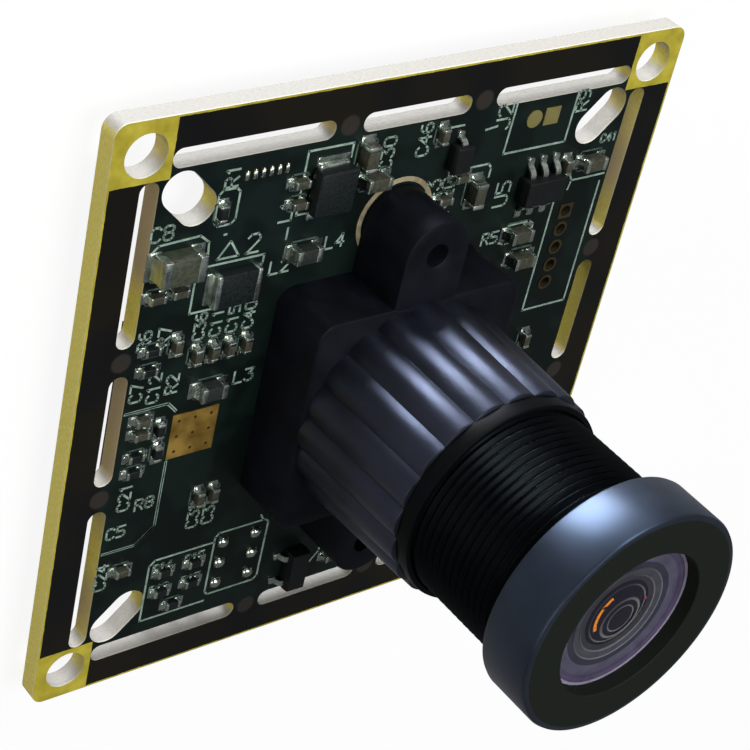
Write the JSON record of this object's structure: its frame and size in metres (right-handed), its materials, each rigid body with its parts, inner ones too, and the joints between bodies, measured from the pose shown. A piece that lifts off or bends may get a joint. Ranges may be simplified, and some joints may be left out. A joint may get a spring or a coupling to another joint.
{
  "type": "board camera module",
  "caption": "Square board camera module with a fluted lens holder and a screw-in lens on a black circuit board, for mounting by its four corner holes.",
  "frame": {"origin": "centre of the four corner holes on the board's rear face", "axes": "+Z along the optical axis, out of the lens; +Y towards the board edge beyond the upper ear; +X completes the right-handed frame"},
  "size_m": [0.038, 0.038, 0.0263],
  "materials": {
    "circuit_board": "dark solder mask over a glass-epoxy panel",
    "gold_plate": "thin gold plating",
    "black_plastic": "satin moulding",
    "screw_steel": "plated",
    "ceramic": "smooth package",
    "silicon": "polished",
    "cover_glass": "clear",
    "coated_glass": "violet antireflection coating",
    "anodised": "black anodised",
    "black_rubber": "matt",
    "ferrite": "matt grey",
    "dark_moulding": "moulded",
    "capacitor_tan": "ceramic with tinned ends",
    "can_metal": "plated can",
    "connector_plastic": "moulded"
  },
  "bodies": {
    "module": {"board": "circuit_board", "plated_lands": "gold_plate", "lens_holder": "black_plastic", "holder_screws": "screw_steel", "image_sensor": "ceramic", "sensor_die": "silicon", "sensor_glass": "cover_glass", "ir_cut_filter": "cover_glass", "shielded_inductor": "ferrite", "power_inductor": "ferrite", "bulk_capacitor": "dark_moulding", "capacitors_0603": "capacitor_tan", "capacitors_0402": "capacitor_tan", "resistors_0402": "dark_moulding", "ferrite_beads": "ferrite", "regulator_ic": "dark_moulding", "switch_transistor": "dark_moulding", "clamp_diode": "dark_moulding", "image_processor": "dark_moulding", "flash_memory": "dark_moulding", "crystal": "can_metal", "rear_connector": "connector_plastic", "connector_contacts": "gold_plate", "core_regulator": "dark_moulding", "rear_inductor": "ferrite", "rear_capacitors": "capacitor_tan", "rear_resistors": "dark_moulding"},
    "lens": {"lens_barrel": "anodised", "front_element": "coated_glass", "front_seal": "black_rubber", "second_element": "coated_glass", "lens_spacer": "anodised", "aperture_stop": "anodised", "third_element": "coated_glass", "rear_spacer": "anodised", "rear_element": "coated_glass", "lens_retainer": "anodised"}
  },
  "joints": [
    {"name": "lens_focus", "type": "hinge", "parent": "module", "child": "lens", "pos_m": [0, 0, 0], "axis": [0, 0, 1], "range_deg": [-180, 180]}
  ]
}
